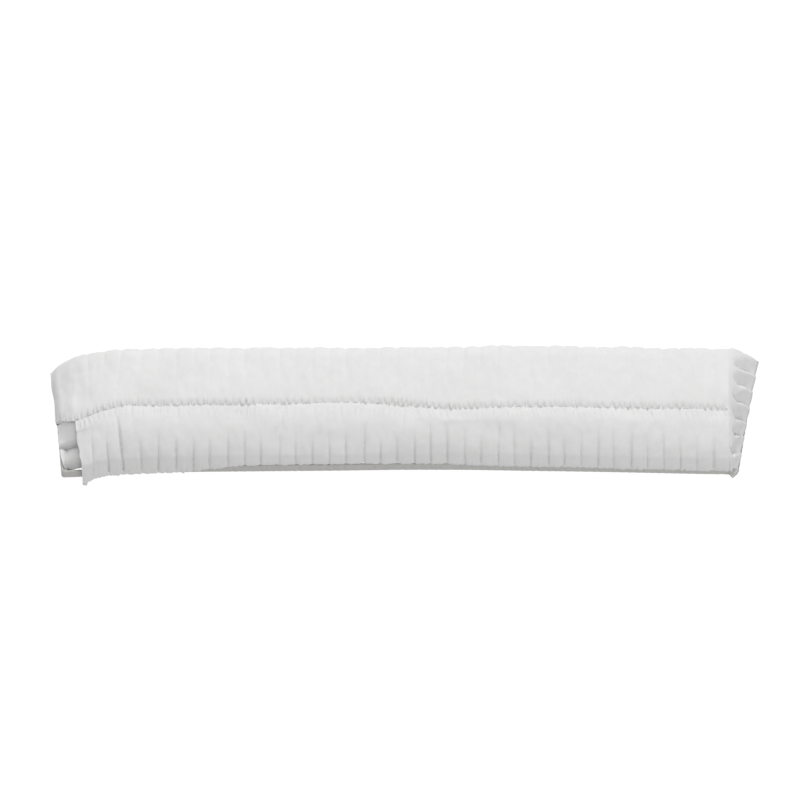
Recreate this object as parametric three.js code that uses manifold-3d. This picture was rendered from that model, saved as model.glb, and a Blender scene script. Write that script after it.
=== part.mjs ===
// A disposable clip cap in its flat folded form, mouth down, as it lies before it is pulled open.
// Millimetres: X runs along the strip, Y from its front to its rear and Z up from the table.
import * as THREE from 'three';
import Module from 'manifold-3d';

const wasm = await Module();
wasm.setup();

// The strip: length between the middles of its ends, and the shapes of those ends
const strip_length = 249.6;
const nose_length = 27; // the left end rounds down over this run
const flap_run = 6.9; // the right end slopes down over this run
const left_skew = 4.3; // the left end lies this much further out at the rear than at the front
const right_skew = 6.8;

// The cross-section, measured from the line that the crease wanders about
const front_depth = 22;
const rear_depth = 25;
const crown_height = 14.6;
const cloth_wall = 1.2;

// The ribs that the elastic gathers the cloth into
const first_rib = 12.8; // from the left end to the first groove
const rib_pitch = 6.06;
const rib_depth = 1.1;
const rib_wander = 0.25; // how unevenly the grooves lie
const groove_slant = 0.7; // the flap's grooves go this share of rib_depth in, and as much down

// The rolled lip of the rear panel, which laps over the front panel along the crease
const lip_lap = 3.2;

// The rest of the cloth's width, folded back and forth under the crown
const layer_gap = 0.6;
const layer_front = 11.4; // how far the folds reach to the front
const layer_rear = 14;
const layer_end_front = 20.6; // and at the left end, where they show in the recess
const layer_end_gap = 2.6; // the folds stop this far inside the left end

// The elastic rim band under the cloth
const hem_height = 3.4;
const hem_wall = 1.3;
const hem_clearance = 0.3;
const hem_setback = 0.4; // the band stands this far inside the rib crests
const corner_flare = 2.2; // how far the band's front right corner stands out
const corner_run = 3.8; // and how far it lies from the right end

// The recess at the left end, where the front panel is loose, and that panel's drawn-out corner
const recess_length = 6.6;
const tip_reach = 3;

const half_length = strip_length / 2;
const nose_end = -half_length + nose_length;
const ridge_end = half_length - flap_run;
const foot = hem_height + hem_clearance; // height of the cloth's lower edge
const sharpest_miter = 0.4; // no offset corner goes further out than this cosine allows

function table(columns, rows) {
  return rows.map((row) => Object.fromEntries(columns.map((name, i) => [name, row[i]])));
}

// Sections along the strip. at is a share of the run: the nose, the body between, or the flap.
// ridge and shoulder are heights of the crease and of the rear shoulder, as shares of crown_height.
// crease and reach are places to the front as shares of front_depth, back is a share of rear_depth.
// spread draws the rows out evenly across the end, sink lowers them to the hem, and tip draws the
// front edge out to the loose corner.
const sections = table(
  ['run', 'at', 'ridge', 'shoulder', 'crease', 'reach', 'back', 'spread', 'sink', 'tip'],
  [
    ['nose', 0.0, 0.54, 0.3, 0.2, 1.13, 0.8, 1, 1, 0],
    ['nose', 0.02, 0.56, 0.33, 0.22, 1.13, 0.82, 0.8, 0, 0],
    ['nose', 0.13, 0.66, 0.46, 0.26, 1.14, 0.86, 0.4, 0, 0],
    ['nose', 0.245, 0.74, 0.58, 0.29, 1.14, 0.89, 0.1, 0, 0.8],
    ['nose', 0.39, 0.8, 0.69, 0.26, 1.13, 0.915, 0, 0, 1],
    ['nose', 0.52, 0.86, 0.78, 0.19, 1.11, 0.935, 0, 0, 0.3],
    ['nose', 0.74, 0.93, 0.89, 0.1, 1.08, 0.955, 0, 0, 0],
    ['nose', 1.0, 0.955, 0.95, 0.05, 1.04, 0.985, 0, 0, 0],
    ['body', 0.09, 0.965, 0.965, 0.045, 1.0, 0.995, 0, 0, 0],
    ['body', 0.22, 0.965, 0.965, 0.03, 0.98, 1.0, 0, 0, 0],
    ['body', 0.36, 0.965, 0.97, 0.005, 0.97, 1.0, 0, 0, 0],
    ['body', 0.46, 0.975, 0.98, 0.06, 0.955, 1.0, 0, 0, 0],
    ['body', 0.54, 0.99, 1.0, 0.145, 0.95, 1.01, 0, 0, 0],
    ['body', 0.66, 1.0, 1.03, 0.11, 0.97, 1.015, 0, 0, 0],
    ['body', 0.8, 0.98, 0.99, 0.12, 1.0, 1.0, 0, 0, 0],
    ['body', 0.92, 0.965, 0.97, 0.13, 1.025, 0.995, 0, 0, 0],
    ['body', 1.0, 0.955, 0.955, 0.145, 1.04, 0.98, 0, 0, 0],
    ['flap', 1.0, 0.955, 0.955, 0.13, 1.02, 0.91, 0, 0, 0],
  ],
).map((section) => ({ ...section, x: run_x(section.run, section.at) }));

// Rows of the cloth from its front edge over the crown to its rear edge. y is a share of the front
// or rear depth, or of lip_lap behind the crease. z goes from 0 at the hem to 1 at the crown.
// rib is how deep the grooves are there, tip how far the row follows the loose corner, out_y and
// out_z which way is outward, and inner says whether the cloth's inner face has the row too.
const rows = table(
  ['side', 'y', 'z', 'rib', 'tip', 'out_y', 'out_z', 'inner'],
  [
    ['front', 0.965, 0.0, 0.9, 1, -1, 0, true],
    ['front', 0.99, 0.04, 1.0, 1, -0.9, -0.4, false],
    ['front', 1.0, 0.12, 1.0, 0.85, -1, 0, true],
    ['front', 0.995, 0.23, 0.9, 0.55, -0.98, 0.2, false],
    ['front', 0.955, 0.39, 0.75, 0.25, -0.85, 0.5, true],
    ['front', 0.865, 0.58, 0.6, 0.1, -0.65, 0.75, true],
    ['front', 0.7, 0.76, 0.45, 0, -0.4, 0.9, true],
    ['front', 0.48, 0.88, 0.3, 0, -0.2, 0.98, true],
    ['crease', -1.0, 0.92, 0.2, 0, 0, 1, true],
    ['crease', -0.35, 0.86, 0.15, 0, 0, 1, true],
    ['crease', 0.8, 0.82, 0, 0, -1, 1, true],
    ['crease', 0.8, 0.862, 0, 0, -1, 0, false],
    ['crease', -0.12, 0.94, 0.1, 0, -1, 0, false],
    ['crease', 0.15, 0.985, 0.15, 0, -0.3, 0.95, false],
    ['crease', 1.0, 1.0, 0.2, 0, -0.6, 1, true],
    ['rear', 0.38, 1.005, 0.25, 0, 0, 1, true],
    ['rear', 0.62, 1.0, 0.35, 0, 0.1, 1, true],
    ['rear', 0.82, 0.95, 0.45, 0, 0.4, 0.9, true],
    ['rear', 0.945, 0.79, 0.6, 0, 0.7, 0.7, true],
    ['rear', 0.995, 0.52, 0.75, 0, 0.93, 0.35, true],
    ['rear', 1.0, 0.25, 0.9, 0, 1, 0.1, false],
    ['rear', 0.985, 0.06, 1.0, 0, 0.9, -0.4, true],
    ['rear', 0.965, 0.0, 0.9, 0, 1, 0, true],
  ],
);
const inner_rows = rows.filter((row) => row.inner);

// The flap's ridges run down it, as wide as the ribs
const flap_width = (front_depth + rear_depth) * rows[0].y;
const flap_ridges = Math.round(flap_width / rib_pitch);

// The loose edge of the front panel in plan: y as a share of front_depth, x of recess_length
const loose_edge = table(
  ['y', 'x'],
  [
    [0.335, 1.0],
    [0.52, 1.04],
    [0.66, 0.99],
    [0.8, 1.13],
    [0.92, 1.16],
    [1.06, 1.34],
    [1.24, 1.62],
    [1.5, 1.66],
  ],
);

function run_x(run, at) {
  if (run === 'nose') {
    return -half_length + at * nose_length;
  }
  if (run === 'body') {
    return nose_end + at * (ridge_end - nose_end);
  }
  return ridge_end + at * flap_run;
}

function mix(a, b, share) {
  return a + (b - a) * share;
}

// The section at a place along the strip, between its neighbours in the table
function section_at(x) {
  let next = sections.findIndex((section) => section.x >= x);
  next = next < 0 ? sections.length - 1 : Math.max(next, 1);
  const from = sections[next - 1];
  const to = sections[next];
  const share = THREE.MathUtils.clamp((x - from.x) / (to.x - from.x), 0, 1);
  const section = { x };
  for (const name of ['ridge', 'shoulder', 'crease', 'reach', 'back', 'spread', 'sink', 'tip']) {
    section[name] = mix(from[name], to[name], share);
  }
  return section;
}

function row_y(section, row) {
  if (row.side === 'front') {
    return -front_depth * section.reach * row.y;
  }
  if (row.side === 'crease') {
    return -front_depth * section.crease + lip_lap * row.y;
  }
  return rear_depth * section.back * row.y;
}

// The ends aren't square to the strip, and the slant dies out over the nose and the flap
function slanted(x, y) {
  const across = y / (front_depth + rear_depth);
  if (x < nose_end) {
    return x - left_skew * across * (nose_end - x) / nose_length;
  }
  if (x > ridge_end) {
    return x + right_skew * across * (x - ridge_end) / flap_run;
  }
  return x;
}

// One point of the cloth: inset is how far inside the outer face, fold how far up a rib, from -1 in
// a groove to 0 on a crest, and across the row's place on the line where the nose meets the hem
function cloth_point(x, row, across, inset, fold) {
  const section = section_at(x);
  const toward_rear = row.side === 'rear' ? row.y : 0;
  const top = crown_height * mix(section.ridge, section.shoulder, toward_rear);
  const inward = inset - rib_depth * row.rib * fold;
  const tip = section.tip * row.tip;
  const y = row_y(section, row) - row.out_y * inward - tip_reach * tip;
  const z = mix(foot, top, row.z) - (row.z > 0 ? row.out_z * inward : 0);
  const [front_corner, rear_corner] = corners(section, inset);
  const end_share = x < nose_end ? (nose_end - x) / nose_length : Number(x >= ridge_end);
  const place_y = mix(y, mix(front_corner, rear_corner, across), section.spread);
  return new THREE.Vector3(
    slanted(x - Math.sign(x) * inset * end_share, place_y),
    place_y,
    mix(mix(z, foot, section.sink), hem_clearance, tip * tip),
  );
}

// Where the cloth's lower edges lie in a section
function corners(section, inset) {
  const front = -front_depth * section.reach * rows[0].y + inset;
  const rear = rear_depth * section.back * rows[0].y - inset;
  return [front, rear];
}

// How far across the cap each row comes when the cloth lies down, from 0 to 1. Its steep sides take
// little of the width.
function across_shares(grid_rows) {
  const steep_share = 0.15;
  const section = section_at(nose_end);
  const top = crown_height * section.ridge;
  const lengths = [0];
  for (let j = 1; j < grid_rows.length; j += 1) {
    const run = row_y(section, grid_rows[j]) - row_y(section, grid_rows[j - 1]);
    const rise = (grid_rows[j].z - grid_rows[j - 1].z) * (top - foot);
    lengths.push(lengths[j - 1] + Math.max(run, 0) + steep_share * Math.abs(rise));
  }
  return lengths.map((length) => length / lengths.at(-1));
}

// Places along the strip where the cloth has points, each with its rib's fold. steps gives the
// places within one rib and how far up it they are.
function stations(nose_places, steps) {
  const first_groove = -half_length + first_rib;
  const places = [];
  for (const at of nose_places) {
    places.push({ x: run_x('nose', at), fold: 0 });
  }
  const grooves = Math.floor((ridge_end - first_groove) / rib_pitch) + 1;
  for (let k = 0; k < grooves; k += 1) {
    const groove = first_groove + k * rib_pitch + rib_wander * Math.sin(2.4 * k);
    for (const [along, fold] of steps) {
      places.push({ x: groove + along * rib_pitch, fold });
    }
  }
  const nearest = 0.15 * rib_pitch;
  const kept = places.filter(
    (place) => place.fold < 0 || place.x < first_groove - nearest || place.x > first_groove,
  );
  const before_flap = kept.filter((place) => place.x < ridge_end - nearest);
  return [...before_flap, { x: ridge_end, fold: 0 }];
}

// Triangles are gathered here, in one list of points and one of corners
function new_mesh() {
  return { points: [], corners: [] };
}

function add_grid(mesh, places, grid_rows, inset) {
  const across = across_shares(grid_rows);
  return places.map((place) => grid_rows.map((row, j) => {
    mesh.points.push(cloth_point(place.x, row, across[j], inset, place.fold));
    return mesh.points.length - 1;
  }));
}

// Lines across the flap, from the ridge's end down to the hem. drops says how far down each lies,
// and points_per_ridge how finely it follows the ridges.
function add_flap(mesh, profile, drops, points_per_ridge, inset) {
  const last = flap_ridges * points_per_ridge;
  const [top_front, top_rear] = corners(section_at(ridge_end), inset);
  return drops.map((drop) => {
    const x = ridge_end + drop * flap_run;
    const [front, rear] = corners(section_at(x), inset);
    const line = [];
    for (let c = 0; c <= last; c += 1) {
      const at_side = c === 0 || c === last;
      const arch = arch_height(mesh, profile, mix(top_front, top_rear, c / last));
      const groove = c % points_per_ridge === 0 && !at_side ? groove_slant * rib_depth : 0;
      const y = mix(front, rear, c / last);
      const z = at_side ? foot : mix(arch, foot, drop) - groove * (1 - drop);
      mesh.points.push(new THREE.Vector3(slanted(x, y) - groove - inset, y, z));
      line.push(mesh.points.length - 1);
    }
    return line;
  });
}

// The height of a cross-section's upper face at y
function arch_height(mesh, profile, y) {
  let height = foot;
  for (let j = 1; j < profile.length; j += 1) {
    const from = mesh.points[profile[j - 1]];
    const to = mesh.points[profile[j]];
    if ((from.y - y) * (to.y - y) <= 0 && from.y !== to.y) {
      height = Math.max(height, mix(from.z, to.z, (y - from.y) / (to.y - from.y)));
    }
  }
  return height;
}

function add_faces(mesh, grid, outward) {
  for (let i = 0; i + 1 < grid.length; i += 1) {
    for (let j = 0; j + 1 < grid[i].length; j += 1) {
      const [a, b, c, d] = [grid[i][j], grid[i + 1][j], grid[i + 1][j + 1], grid[i][j + 1]];
      mesh.corners.push(...(outward ? [a, b, c, a, c, d] : [a, c, b, a, d, c]));
    }
  }
}

// Joins two edges that run side by side and may have different numbers of points
function add_seam(mesh, left, right, shares = length_shares) {
  const left_run = shares(mesh, left);
  const right_run = shares(mesh, right);
  let i = 0;
  let j = 0;
  while (i + 1 < left.length || j + 1 < right.length) {
    const step_left = j + 1 === right.length
      || (i + 1 < left.length && left_run[i + 1] <= right_run[j + 1]);
    mesh.corners.push(left[i], right[j], step_left ? left[i + 1] : right[j + 1]);
    i += step_left ? 1 : 0;
    j += step_left ? 0 : 1;
  }
}

function length_shares(mesh, edge) {
  const lengths = [0];
  for (let i = 1; i < edge.length; i += 1) {
    const step = mesh.points[edge[i]].distanceTo(mesh.points[edge[i - 1]]);
    lengths.push(lengths[i - 1] + step);
  }
  return lengths.map((length) => length / lengths.at(-1));
}

// How far across the cap each point has come, never back
function width_shares(mesh, edge) {
  const first = mesh.points[edge[0]].y;
  const width = mesh.points[edge.at(-1)].y - first;
  let reached = 0;
  return edge.map((id) => {
    reached = THREE.MathUtils.clamp((mesh.points[id].y - first) / width, reached, 1);
    return reached;
  });
}

function to_solid(mesh) {
  const vertProperties = new Float32Array(mesh.points.flatMap((point) => point.toArray()));
  const triVerts = new Uint32Array(mesh.corners);
  return new wasm.Manifold(new wasm.Mesh({ numProp: 3, vertProperties, triVerts }));
}

// The cloth as one closed wall: an outer face, an inner face and the edges between them
function make_cloth() {
  const mesh = new_mesh();
  const outer_places = stations(
    [0, 0.02, 0.13, 0.245, 0.32, 0.39, 0.45],
    [[0, -1], [0.3, 0], [0.7, 0]],
  );
  const inner_places = stations([0, 0.02, 0.13, 0.245, 0.39], [[0, -1], [0.5, 0]]);
  const outer = add_grid(mesh, outer_places, rows, 0);
  const inner = add_grid(mesh, inner_places, inner_rows, cloth_wall);
  const outer_flap = add_flap(mesh, outer.at(-1), [0.35, 0.7, 1], 4, 0);
  const inner_flap = add_flap(mesh, inner.at(-1), [0.35, 1], 2, cloth_wall);
  add_faces(mesh, outer, true);
  add_faces(mesh, inner, false);
  add_faces(mesh, outer_flap, true);
  add_faces(mesh, inner_flap, false);
  add_seam(mesh, outer.at(-1), outer_flap[0], width_shares);
  add_seam(mesh, inner_flap[0], inner.at(-1), width_shares);
  const outer_lines = [...outer, ...outer_flap];
  const inner_lines = [...inner, ...inner_flap];
  add_seam(mesh, outer_lines.map((line) => line[0]), inner_lines.map((line) => line[0]));
  add_seam(mesh, inner_lines.map((line) => line.at(-1)), outer_lines.map((line) => line.at(-1)));
  add_seam(mesh, inner[0], outer[0]);
  add_seam(mesh, outer_flap.at(-1), inner_flap.at(-1));
  return to_solid(mesh);
}

// A wall of even thickness that follows a folded line, offset square to its corners
function folded_outline(line) {
  const half_wall = cloth_wall / 2;
  const left = [];
  const right = [];
  line.forEach((point, i) => {
    const before = line[Math.max(i - 1, 0)];
    const after = line[Math.min(i + 1, line.length - 1)];
    const came = i > 0 ? point.clone().sub(before).normalize() : after.clone().sub(point).normalize();
    const goes = i + 1 < line.length ? after.clone().sub(point).normalize() : came;
    const normal = new THREE.Vector2(-came.y - goes.y, came.x + goes.x).normalize();
    const cosine = Math.max(normal.dot(new THREE.Vector2(-came.y, came.x)), sharpest_miter);
    const stretch = half_wall / cosine;
    left.unshift(point.clone().addScaledVector(normal, stretch));
    right.push(point.clone().addScaledVector(normal, -stretch));
  });
  return [...right, ...left];
}

// Places along the strip where the folded layers have points
function layer_places() {
  const places = [-half_length + layer_end_gap];
  for (const at of [0.28, 0.4, 0.55, 1]) {
    places.push(run_x('nose', at));
  }
  const end = ridge_end - 2 * cloth_wall;
  const steps = 12;
  for (let i = 1; i <= steps; i += 1) {
    places.push(mix(nose_end, end, i / steps));
  }
  return places;
}

// The doubled cloth that hangs from the crease and is folded back and forth under the crown
function layer_line(x) {
  const pitch = cloth_wall + layer_gap;
  const section = section_at(x);
  const seam_y = -front_depth * section.crease + 0.9 * lip_lap;
  const upper = crown_height * section.ridge - 2 * cloth_wall - layer_gap;
  const drawn_out = THREE.MathUtils.clamp((run_x('nose', 0.55) - x) / recess_length, 0, 1);
  const front = -mix(layer_front, layer_end_front, drawn_out);
  return [
    new THREE.Vector2(seam_y, upper + 0.7 * cloth_wall),
    new THREE.Vector2(seam_y + 1.6 * cloth_wall, upper),
    new THREE.Vector2(layer_rear, upper),
    new THREE.Vector2(layer_rear, upper - pitch),
    new THREE.Vector2(front, upper - pitch),
    new THREE.Vector2(front, upper - 2 * pitch),
    new THREE.Vector2(layer_rear, upper - 2 * pitch),
  ];
}

function make_layers() {
  const mesh = new_mesh();
  const places = layer_places();
  const loops = places.map((x, i) => {
    const outline = folded_outline(layer_line(x));
    const loop = outline.map((point) => {
      mesh.points.push(new THREE.Vector3(slanted(x, point.x), point.x, point.y));
      return mesh.points.length - 1;
    });
    if (i === 0 || i === places.length - 1) {
      for (const [a, b, c] of THREE.ShapeUtils.triangulateShape(outline, [])) {
        mesh.corners.push(...(i === 0 ? [loop[a], loop[c], loop[b]] : [loop[a], loop[b], loop[c]]));
      }
    }
    return [...loop, loop[0]];
  });
  add_faces(mesh, loops, false);
  return to_solid(mesh);
}

// The band's outer face in plan, once round from the front left, against the sun
function hem_path() {
  const front = [];
  const rear = [];
  const places = 26;
  for (let i = 0; i <= places; i += 1) {
    const x = mix(-half_length + recess_length / 2, ridge_end, i / places);
    const section = section_at(x);
    const y_front = hem_setback - front_depth * section.reach;
    const y_rear = rear_depth * section.back - hem_setback;
    front.push(new THREE.Vector2(slanted(x, y_front), y_front));
    rear.unshift(new THREE.Vector2(slanted(x, y_rear), y_rear));
  }
  const left = section_at(-half_length);
  const right = section_at(half_length);
  const ends = [
    [half_length - corner_run, -front_depth * right.reach - corner_flare],
    [half_length, hem_setback - front_depth * right.reach],
    [half_length, 0],
    [half_length, rear_depth * right.back * rows[0].y],
  ];
  const starts = [
    [-half_length, rear_depth * left.back * rows[0].y],
    [-half_length, 0],
    [-half_length, hem_setback - front_depth * left.reach],
  ];
  const corner = ([x, y]) => new THREE.Vector2(slanted(x, y), y);
  return [...front, ...ends.map(corner), ...rear, ...starts.map(corner)];
}

// The band, or with room the space that the cloth keeps clear of it
function make_hem(room) {
  const mesh = new_mesh();
  const path = hem_path();
  const loops = path.map((point, i) => {
    const before = path[(i + path.length - 1) % path.length];
    const after = path[(i + 1) % path.length];
    const came = point.clone().sub(before).normalize();
    const goes = after.clone().sub(point).normalize();
    const out = new THREE.Vector2(came.y + goes.y, -came.x - goes.x).normalize();
    const miter = 1 / Math.max(out.dot(new THREE.Vector2(came.y, -came.x)), sharpest_miter);
    const face = point.clone().addScaledVector(out, room * miter);
    const back = point.clone().addScaledVector(out, -(hem_wall + room) * miter);
    const loop = [[face, -room], [face, hem_height + room], [back, hem_height + room], [back, -room]];
    const corners = loop.map(([place, z]) => {
      mesh.points.push(new THREE.Vector3(place.x, place.y, z));
      return mesh.points.length - 1;
    });
    return [...corners, corners[0]];
  });
  add_faces(mesh, [...loops, loops[0]], true);
  return to_solid(mesh);
}

// What is cut away at the left end, up to the front panel's loose edge
function make_recess() {
  const edge = loose_edge.map(({ y, x }) => {
    const place_y = -front_depth * y;
    return new THREE.Vector2(slanted(-half_length + recess_length * x, place_y), place_y);
  });
  const outside = -half_length - left_skew - nose_length;
  const shape = new THREE.Shape([
    ...edge,
    new THREE.Vector2(outside, edge.at(-1).y),
    new THREE.Vector2(outside, edge[0].y),
  ]);
  const block = new THREE.ExtrudeGeometry(shape, { depth: 2 * crown_height, bevelEnabled: false });
  return geometry_to_solid(block);
}

function geometry_to_solid(geometry) {
  const mesh = new_mesh();
  const position = geometry.getAttribute('position');
  const known = new Map();
  for (let i = 0; i < position.count; i += 1) {
    const point = new THREE.Vector3().fromBufferAttribute(position, i);
    const key = point.toArray().map((value) => value.toFixed(4)).join();
    if (!known.has(key)) {
      known.set(key, mesh.points.length);
      mesh.points.push(point);
    }
    mesh.corners.push(known.get(key));
  }
  return to_solid(mesh);
}

function to_mesh(name, solid, material) {
  const { vertProperties, triVerts } = solid.getMesh();
  const geometry = new THREE.BufferGeometry();
  geometry.setAttribute('position', new THREE.BufferAttribute(new Float32Array(vertProperties), 3));
  geometry.setIndex(new THREE.BufferAttribute(new Uint32Array(triVerts), 1));
  geometry.computeVertexNormals();
  const mesh = new THREE.Mesh(geometry, material);
  mesh.name = name;
  return mesh;
}

const nonwoven = new THREE.MeshStandardMaterial({ color: '#eceeed', roughness: 0.9, metalness: 0 });
const elastic = new THREE.MeshStandardMaterial({ color: '#dcdcd7', roughness: 0.85, metalness: 0 });

const crown = make_cloth()
  .subtract(make_recess())
  .add(make_layers())
  .subtract(make_hem(hem_clearance));

// The cap stands with the middle of its base at the origin
const cap = new THREE.Group();
cap.add(to_mesh('pleated_crown', crown, nonwoven));
cap.add(to_mesh('elastic_hem', make_hem(0), elastic));
const middle = new THREE.Box3().setFromObject(cap).getCenter(new THREE.Vector3());
cap.position.set(-middle.x, -middle.y, 0);

export default cap;
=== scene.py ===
"""A disposable clip cap in its flat folded form, mouth down, on a pale floor in soft studio light.

Sizes are in millimetres until a mesh is made. X runs along the strip, Y from front to rear, Z up.
"""
import math

import bpy
import numpy as np
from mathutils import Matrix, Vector


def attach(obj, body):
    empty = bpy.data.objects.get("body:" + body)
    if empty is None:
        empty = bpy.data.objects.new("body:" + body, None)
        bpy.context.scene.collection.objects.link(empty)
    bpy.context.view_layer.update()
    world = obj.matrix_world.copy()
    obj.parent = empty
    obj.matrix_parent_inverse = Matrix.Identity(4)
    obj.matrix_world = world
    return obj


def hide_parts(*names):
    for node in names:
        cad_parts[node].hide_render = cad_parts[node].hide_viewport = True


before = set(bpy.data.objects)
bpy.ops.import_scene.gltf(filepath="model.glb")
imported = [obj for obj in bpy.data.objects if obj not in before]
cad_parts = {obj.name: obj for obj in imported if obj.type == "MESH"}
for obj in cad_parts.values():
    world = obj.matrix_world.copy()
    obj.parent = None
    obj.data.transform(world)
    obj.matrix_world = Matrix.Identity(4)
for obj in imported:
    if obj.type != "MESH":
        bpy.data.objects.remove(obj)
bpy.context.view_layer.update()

MM = 0.001

# The strip and its ends
STRIP_LENGTH = 249.6
NOSE_LENGTH = 27.0
FLAP_RUN = 6.9
LEFT_SKEW = 4.75
RIGHT_SKEW = 7.8
FLAP_OUT = 0.45
SHIFT_X = -0.705  # from the strip's own lines to the middle of its base
SHIFT_Y = 1.024

# The cross-section
FRONT_DEPTH = 22.0
REAR_DEPTH = 25.2
CROWN_HEIGHT = 14.6
CLOTH_WALL = 0.5
LIP_LAP = 3.2

# The ribs
FIRST_RIB = 12.8
RIB_PITCH = 6.06
RIB_WANDER = 0.25
RIB_BOW = 1.3
RIB_COUNT = 38

# The rim band
HEM_HEIGHT = 3.4
HEM_WALL = 1.3
HEM_CLEARANCE = 0.3
HEM_SETBACK = 0.4
WELD_DEPTH = 0.3  # how far the rear panel's edge lies in the band's soft top
CORNER_FLARE = 2.2
CORNER_RUN = 3.8

# The left end
RECESS_LENGTH = 6.6
RECESS_TOP = -4.3  # the recess starts this far to the front of the strip's middle line
ROLL_LENGTH = 2.4  # the rear panel rolls down over this stretch of the strip
TIP_REACH = 3.0
TIP_FOOT = 0.45

# The front panel's lap over the rim band
LAP_START = 0.39  # the share of the height at which the cloth begins to hang over
LAP_OUT = 0.45
LAP_FOOT = 0.5

HALF_LENGTH = STRIP_LENGTH / 2
NOSE_END = -HALF_LENGTH + NOSE_LENGTH
RIDGE_END = HALF_LENGTH - FLAP_RUN
FOOT = HEM_HEIGHT + HEM_CLEARANCE

# Along the strip, as shares of the sizes above. tip is the left corner's tip, and lap is how far the
# front panel hangs down over the rim band, both from 0 to 1.
SECTION_COLUMNS = ["run", "at", "ridge", "shoulder", "crease", "reach", "back", "tip", "lap"]
SECTIONS = [
    ["nose", 0.0, 0.5, 0.26, 0.215, 1.15, 0.775, 0, 0],
    ["nose", 0.02, 0.52, 0.28, 0.235, 1.15, 0.78, 0, 0],
    ["nose", 0.06, 0.56, 0.34, 0.245, 1.15, 0.79, 0, 0],
    ["nose", 0.13, 0.62, 0.42, 0.275, 1.15, 0.83, 0, 0.3],
    ["nose", 0.245, 0.72, 0.58, 0.305, 1.15, 0.885, 0.3, 0.6],
    ["nose", 0.325, 0.77, 0.675, 0.305, 1.15, 0.91, 1, 0.85],
    ["nose", 0.44, 0.845, 0.79, 0.255, 1.13, 0.935, 0.4, 0.95],
    ["nose", 0.58, 0.9, 0.85, 0.195, 1.11, 0.95, 0.08, 1],
    ["nose", 0.7, 0.93, 0.89, 0.155, 1.1, 0.962, 0, 1],
    ["nose", 1.0, 0.95, 0.945, 0.095, 1.07, 0.98, 0, 1],
    ["body", 0.09, 0.965, 0.965, 0.09, 1.045, 0.995, 0, 0.8],
    ["body", 0.22, 0.965, 0.965, 0.075, 1.03, 1.0, 0, 0],
    ["body", 0.36, 0.965, 0.97, 0.05, 1.015, 1.0, 0, 0],
    ["body", 0.46, 0.975, 0.98, 0.095, 1.0, 1.0, 0, 0],
    ["body", 0.54, 0.99, 1.0, 0.18, 1.0, 1.01, 0, 0.15],
    ["body", 0.66, 1.0, 1.03, 0.14, 1.02, 1.015, 0, 0.3],
    ["body", 0.8, 0.98, 0.99, 0.15, 1.045, 1.0, 0, 0.4],
    ["body", 0.92, 0.965, 0.97, 0.16, 1.075, 0.995, 0, 0.45],
    ["body", 1.0, 0.955, 0.955, 0.175, 1.09, 0.985, 0, 0.45],
    ["flap", 1.0, 0.955, 0.955, 0.16, 1.06, 0.945, 0, 0.45],
]

# Across the strip, from the front hem over the crease to the rear hem. rib is how deep the ribs are there.
ROW_COLUMNS = ["side", "y", "z", "rib", "tip"]
ROWS = [
    ["front", 0.96, 0.0, 0.9, 1],
    ["front", 0.985, 0.035, 1.0, 1],
    ["front", 1.0, 0.13, 1.0, 0.85],
    ["front", 0.99, 0.25, 0.95, 0.55],
    ["front", 0.95, 0.4, 0.85, 0.25],
    ["front", 0.845, 0.56, 0.65, 0.1],
    ["front", 0.69, 0.715, 0.45, 0],
    ["front", 0.5, 0.855, 0.22, 0],
    ["crease", -1.0, 0.928, 0.1, 0],
    ["crease", -0.4, 0.92, 0.05, 0],
    ["crease", -0.03, 0.91, 0, 0],
    ["crease", 0.03, 0.909, 0, 0],
    ["crease", 0.1, 0.92, 0.0, 0],
    ["crease", 0.62, 0.985, 0.02, 0],
    ["crease", 1.15, 1.0, 0.06, 0],
    ["rear", 0.38, 1.0, 0.12, 0],
    ["rear", 0.62, 0.972, 0.22, 0],
    ["rear", 0.83, 0.91, 0.32, 0],
    ["rear", 0.96, 0.77, 0.45, 0],
    ["rear", 1.005, 0.52, 0.7, 0],
    ["rear", 1.0, 0.25, 0.9, 0],
    ["rear", 0.985, 0.06, 1.0, 0],
    ["rear", 0.965, 0.0, 0.9, 0],
]
CREASE_ROW = 8  # the first row of the crease
NOTCH_ROW = 10  # the last row of the front panel, deep under the lip
LIP_ROW = 12  # the lip's lower front corner
RISE_ROW = 14  # the last row of the crease
CREASE_PLACE = 1.5  # how far the crease lies to the front in the plain cross-section
LIP_SETBACK = 0.25

# The front panel's loose edge: how far in it lies, as a share of RECESS_LENGTH, at each Y share
LOOSE_EDGE_COLUMNS = ["y", "inward"]
LOOSE_EDGE = [
    [0.2, 1.05], [0.335, 1.07], [0.44, 1.1], [0.56, 1.05], [0.66, 1.08], [0.74, 1.18], [0.82, 1.14],
    [0.9, 1.25], [0.97, 1.22], [1.04, 1.28], [1.24, 1.42],
]


def column(table, names, name):
    return np.array([row[names.index(name)] for row in table], float)


def run_x(run, at):
    """The place along the strip that a share of its nose, body or flap stands for."""
    if run == "nose":
        return -HALF_LENGTH + at * NOSE_LENGTH
    if run == "body":
        return NOSE_END + at * (RIDGE_END - NOSE_END)
    return RIDGE_END + at * FLAP_RUN


def smoothstep(low, high, value):
    share = np.clip((value - low) / (high - low), 0.0, 1.0)
    return share * share * (3 - 2 * share)


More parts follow.
